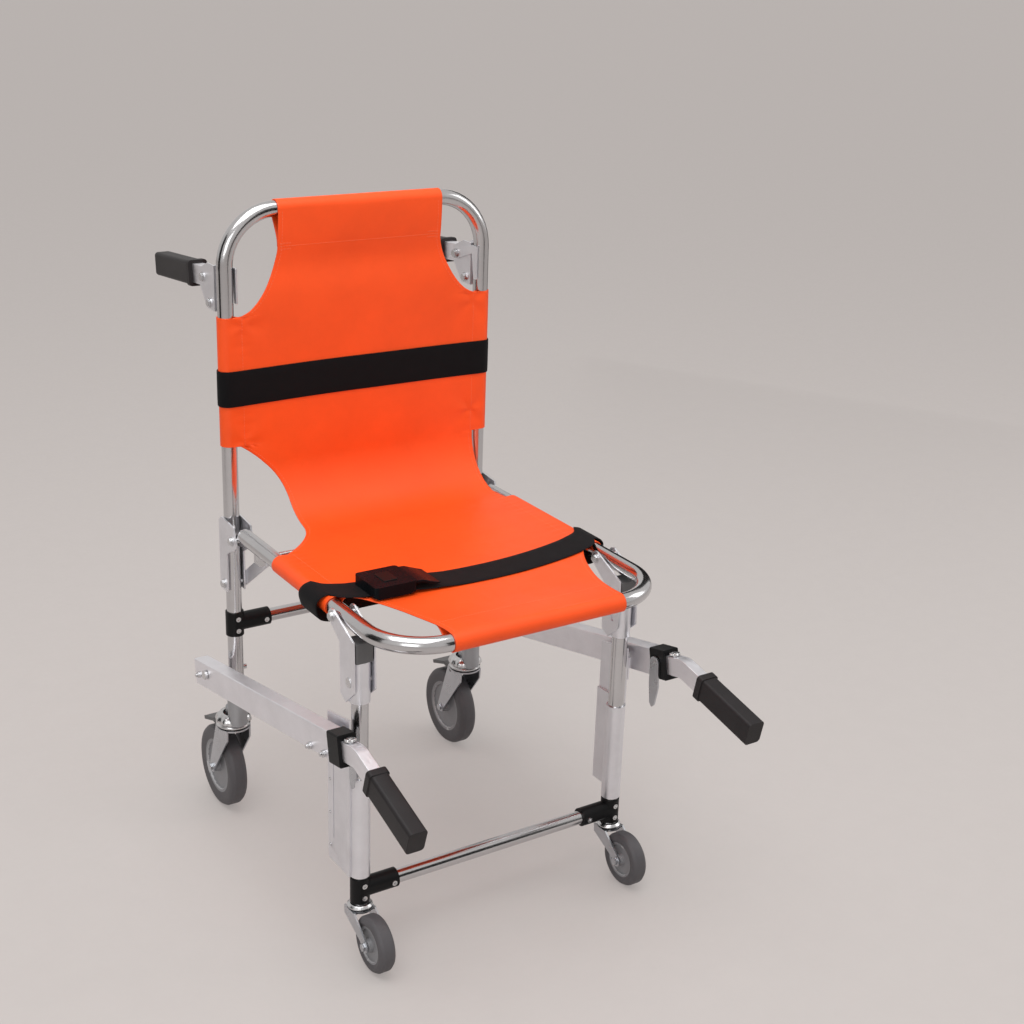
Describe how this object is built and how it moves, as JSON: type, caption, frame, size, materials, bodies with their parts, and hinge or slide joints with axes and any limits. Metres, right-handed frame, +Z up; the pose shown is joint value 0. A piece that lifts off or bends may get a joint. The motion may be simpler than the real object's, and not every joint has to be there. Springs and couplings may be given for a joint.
{
  "type": "evacuation chair",
  "caption": "Folding evacuation chair with bent tube frame, sling back and seat, strap and lap belt, sliding and folding carrying handles, and casters at front and back.",
  "frame": {"origin": "on the floor, below the middle of the outline of the unfolded chair", "axes": "+Z up, the sitter faces -Y, +X to the right seen from the front"},
  "size_m": [0.5022, 0.8538, 0.9206],
  "materials": {
    "tube": "polished",
    "plate": "satin",
    "zinc": "zinc plated",
    "bright": "polished",
    "black_plastic": "matte",
    "grey_plastic": "matte",
    "buckle": "glossy",
    "cloth": "coated, slightly glossy",
    "webbing": "woven",
    "grip": "matte",
    "wheel": "matte"
  },
  "bodies": {
    "back_frame": {"back_hoop": "tube", "back_crossbar": "tube", "back_clamps": "black_plastic", "back_frame_screws": "bright", "seat_brackets": "plate", "back_sling": "cloth", "back_strap": "webbing", "rear_foot_blocks": "plate", "rear_caster_stems": "bright", "rail_pivot_pins": "bright", "handle_brackets": "zinc"},
    "seat_frame": {"seat_hoop": "tube", "seat_stay_rod": "bright", "seat_sling": "cloth", "lap_belt": "webbing", "buckle_body": "buckle"},
    "buckle_button": {"buckle_button": "buckle"},
    "front_legs": {"front_legs": "tube", "front_crossbar": "tube", "front_clamps": "black_plastic", "leg_screws": "bright", "leg_brackets": "plate", "leg_buffers": "grey_plastic", "leg_profiles": "plate", "slot_plates": "plate", "leg_hinge_bolts": "bright", "front_caster_stems": "bright"},
    "rear_handle_left": {"rear_handle_left": "plate", "rear_grip_left": "grip"},
    "handle_latch_left": {"handle_latch_left": "plate"},
    "lock_strut_left": {"lock_strut_left": "zinc"},
    "rail_left": {"rail_left": "plate", "rail_collar_left": "black_plastic", "rail_bolts_left": "bright"},
    "front_handle_left": {"front_handle_left": "plate", "front_grip_left": "grip"},
    "handle_button_left": {"handle_button_left": "bright"},
    "rail_lever_left": {"rail_lever_left": "zinc"},
    "rear_fork_left": {"rear_fork_left": "zinc"},
    "rear_wheel_left": {"rear_wheel_left": "wheel"},
    "rear_brake_left": {"rear_brake_left": "grey_plastic"},
    "front_fork_left": {"front_fork_left": "zinc"},
    "front_wheel_left": {"front_wheel_left": "wheel"},
    "rear_handle_right": {"rear_handle_right": "plate", "rear_grip_right": "grip"},
    "handle_latch_right": {"handle_latch_right": "plate"},
    "lock_strut_right": {"lock_strut_right": "zinc"},
    "rail_right": {"rail_right": "plate", "rail_collar_right": "black_plastic", "rail_bolts_right": "bright"},
    "front_handle_right": {"front_handle_right": "plate", "front_grip_right": "grip"},
    "handle_button_right": {"handle_button_right": "bright"},
    "rail_lever_right": {"rail_lever_right": "zinc"},
    "rear_fork_right": {"rear_fork_right": "zinc"},
    "rear_wheel_right": {"rear_wheel_right": "wheel"},
    "rear_brake_right": {"rear_brake_right": "grey_plastic"},
    "front_fork_right": {"front_fork_right": "zinc"},
    "front_wheel_right": {"front_wheel_right": "wheel"}
  },
  "joints": [
    {"name": "seat_fold", "type": "hinge", "parent": "back_frame", "child": "seat_frame", "pos_m": [0, 0.17613, 0.458], "axis": [-1, 0, 0], "range_deg": [0, 60]},
    {"name": "leg_fold", "type": "hinge", "parent": "seat_frame", "child": "front_legs", "pos_m": [0, -0.13387, 0.468], "axis": [-1, 0, 0], "range_deg": [-77, 0]},
    {"name": "buckle_press", "type": "slide", "parent": "seat_frame", "child": "buckle_button", "axis": [0, 0, -1], "range_m": [0, 0.002], "stiffness_N_per_m": 400, "springref_m": -0.001},
    {"name": "rear_handle_fold_left", "type": "hinge", "parent": "back_frame", "child": "rear_handle_left", "pos_m": [-0.2, 0.25413, 0.814], "axis": [-1, 0, 0], "range_deg": [0, 85]},
    {"name": "handle_latch_press_left", "type": "hinge", "parent": "back_frame", "child": "handle_latch_left", "pos_m": [-0.2, 0.25413, 0.814], "axis": [1, 0, 0], "range_deg": [0, 10], "stiffness_Nm_per_rad": 0.4, "springref_deg": -11.46},
    {"name": "lock_strut_swing_left", "type": "hinge", "parent": "back_frame", "child": "lock_strut_left", "pos_m": [-0.184, 0.20613, 0.384], "axis": [1, 0, 0], "range_deg": [0, 18], "stiffness_Nm_per_rad": 0.3, "springref_deg": -17.19},
    {"name": "rail_fold_left", "type": "hinge", "parent": "back_frame", "child": "rail_left", "pos_m": [-0.233, 0.21013, 0.246], "axis": [-1, 0, 0], "range_deg": [0, 55]},
    {"name": "front_handle_slide_left", "type": "slide", "parent": "rail_left", "child": "front_handle_left", "axis": [0, -0.9823, 0.1874], "range_m": [0, 0.14]},
    {"name": "handle_button_press_left", "type": "slide", "parent": "front_handle_left", "child": "handle_button_left", "axis": [0, -0.1874, -0.9823], "range_m": [0, 0.003], "stiffness_N_per_m": 400, "springref_m": -0.001},
    {"name": "rail_lever_swing_left", "type": "hinge", "parent": "rail_left", "child": "rail_lever_left", "pos_m": [-0.218, -0.19232, 0.32104], "axis": [-1, 0, 0], "range_deg": [0, 60]},
    {"name": "rear_caster_swivel_left", "type": "hinge", "parent": "back_frame", "child": "rear_fork_left", "pos_m": [-0.2, 0.22213, 0.148], "axis": [0, 0, 1], "continuous": true},
    {"name": "rear_wheel_spin_left", "type": "hinge", "parent": "rear_fork_left", "child": "rear_wheel_left", "pos_m": [-0.2, 0.26413, 0.0625], "axis": [1, 0, 0], "continuous": true},
    {"name": "rear_brake_press_left", "type": "hinge", "parent": "rear_fork_left", "child": "rear_brake_left", "pos_m": [-0.2, 0.23613, 0.141], "axis": [-1, 0, 0], "range_deg": [0, 8]},
    {"name": "front_caster_swivel_left", "type": "hinge", "parent": "front_legs", "child": "front_fork_left", "pos_m": [-0.2, -0.17787, 0.066], "axis": [0, 0, 1], "continuous": true},
    {"name": "front_wheel_spin_left", "type": "hinge", "parent": "front_fork_left", "child": "front_wheel_left", "pos_m": [-0.2, -0.22087, 0.038], "axis": [1, 0, 0], "continuous": true},
    {"name": "rear_handle_fold_right", "type": "hinge", "parent": "back_frame", "child": "rear_handle_right", "pos_m": [0.2, 0.25413, 0.814], "axis": [-1, 0, 0], "range_deg": [0, 85]},
    {"name": "handle_latch_press_right", "type": "hinge", "parent": "back_frame", "child": "handle_latch_right", "pos_m": [0.2, 0.25413, 0.814], "axis": [1, 0, 0], "range_deg": [0, 10], "stiffness_Nm_per_rad": 0.4, "springref_deg": -11.46},
    {"name": "lock_strut_swing_right", "type": "hinge", "parent": "back_frame", "child": "lock_strut_right", "pos_m": [0.184, 0.20613, 0.384], "axis": [1, 0, 0], "range_deg": [0, 18], "stiffness_Nm_per_rad": 0.3, "springref_deg": -17.19},
    {"name": "rail_fold_right", "type": "hinge", "parent": "back_frame", "child": "rail_right", "pos_m": [0.233, 0.21013, 0.246], "axis": [-1, 0, 0], "range_deg": [0, 55]},
    {"name": "front_handle_slide_right", "type": "slide", "parent": "rail_right", "child": "front_handle_right", "axis": [0, -0.9751, 0.2215], "range_m": [0, 0.14]},
    {"name": "handle_button_press_right", "type": "slide", "parent": "front_handle_right", "child": "handle_button_right", "axis": [0, -0.2215, -0.9751], "range_m": [0, 0.003], "stiffness_N_per_m": 400, "springref_m": -0.001},
    {"name": "rail_lever_swing_right", "type": "hinge", "parent": "rail_right", "child": "rail_lever_right", "pos_m": [0.218, -0.23421, 0.34509], "axis": [-1, 0, 0], "range_deg": [0, 60]},
    {"name": "rear_caster_swivel_right", "type": "hinge", "parent": "back_frame", "child": "rear_fork_right", "pos_m": [0.2, 0.22213, 0.148], "axis": [0, 0, 1], "continuous": true},
    {"name": "rear_wheel_spin_right", "type": "hinge", "parent": "rear_fork_right", "child": "rear_wheel_right", "pos_m": [0.2, 0.26413, 0.0625], "axis": [1, 0, 0], "continuous": true},
    {"name": "rear_brake_press_right", "type": "hinge", "parent": "rear_fork_right", "child": "rear_brake_right", "pos_m": [0.2, 0.23613, 0.141], "axis": [-1, 0, 0], "range_deg": [0, 8]},
    {"name": "front_caster_swivel_right", "type": "hinge", "parent": "front_legs", "child": "front_fork_right", "pos_m": [0.2, -0.17787, 0.066], "axis": [0, 0, 1], "continuous": true},
    {"name": "front_wheel_spin_right", "type": "hinge", "parent": "front_fork_right", "child": "front_wheel_right", "pos_m": [0.2, -0.22087, 0.038], "axis": [1, 0, 0], "continuous": true}
  ],
  "couplings": [
    {"joint": "leg_fold", "follows": "seat_fold", "ratio": -1.27},
    {"joint": "rail_fold_left", "follows": "seat_fold", "ratio": 0.91},
    {"joint": "rail_fold_right", "follows": "seat_fold", "ratio": 0.91}
  ]
}
